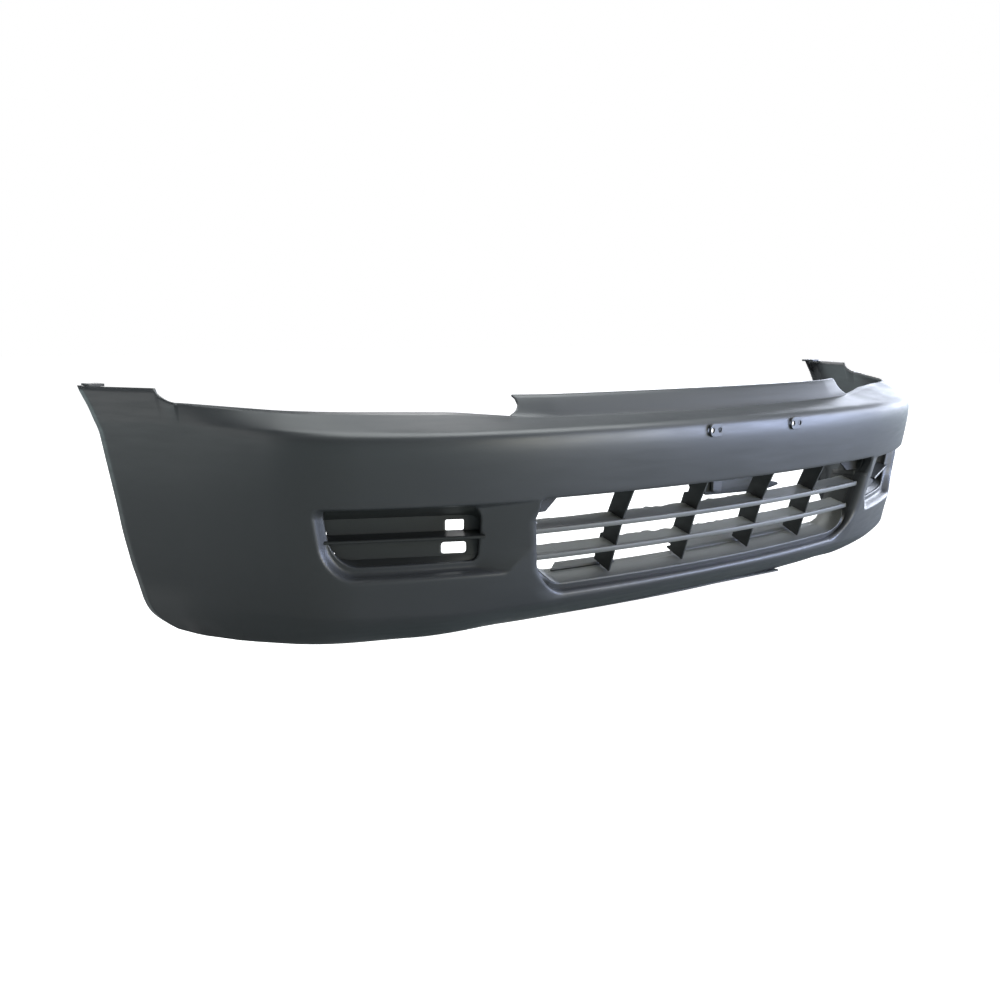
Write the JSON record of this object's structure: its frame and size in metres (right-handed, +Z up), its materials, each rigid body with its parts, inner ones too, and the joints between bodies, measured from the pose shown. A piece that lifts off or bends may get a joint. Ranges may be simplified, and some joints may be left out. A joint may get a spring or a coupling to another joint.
{
  "type": "bumper cover",
  "caption": "Front bumper cover of a small coupe in grey primer, with a slatted grille opening, louvred side vents, plate bosses and mounting flanges.",
  "frame": {"origin": "bottom centre of the whole cover's box, on the car's middle plane, level with the lowest point of the chin", "axes": "+X across the car, -Y forward in the direction of travel, +Z up"},
  "size_m": [1.706, 0.529, 0.3578],
  "materials": {
    "primer": "satin grey primer on moulded plastic",
    "primer_shade": "thin dark primer on inner webs"
  },
  "bodies": {
    "root": {"fascia_skin": "primer", "top_flange": "primer", "grille_slat_upper": "primer", "grille_slat_lower": "primer", "grille_rib_1": "primer_shade", "grille_rib_2": "primer_shade", "grille_rib_3": "primer_shade", "grille_rib_4": "primer_shade", "grille_floor": "primer", "floor_shelf_left": "primer", "floor_shelf_right": "primer", "grille_header": "primer_shade", "grille_wall_left": "primer_shade", "grille_wall_right": "primer_shade", "grille_gusset_left": "primer_shade", "grille_gusset_right": "primer_shade", "inner_bracket": "primer_shade", "vent_housing_left": "primer_shade", "vent_housing_right": "primer_shade", "vent_louvre_left": "primer", "vent_louvre_right": "primer", "wheel_arch_lip_left": "primer", "wheel_arch_lip_right": "primer", "wing_tab_left": "primer", "wing_tab_right": "primer", "plate_boss_left": "primer", "plate_boss_right": "primer", "undertray_flange": "primer_shade", "undertray_tab": "primer_shade"}
  },
  "joints": []
}
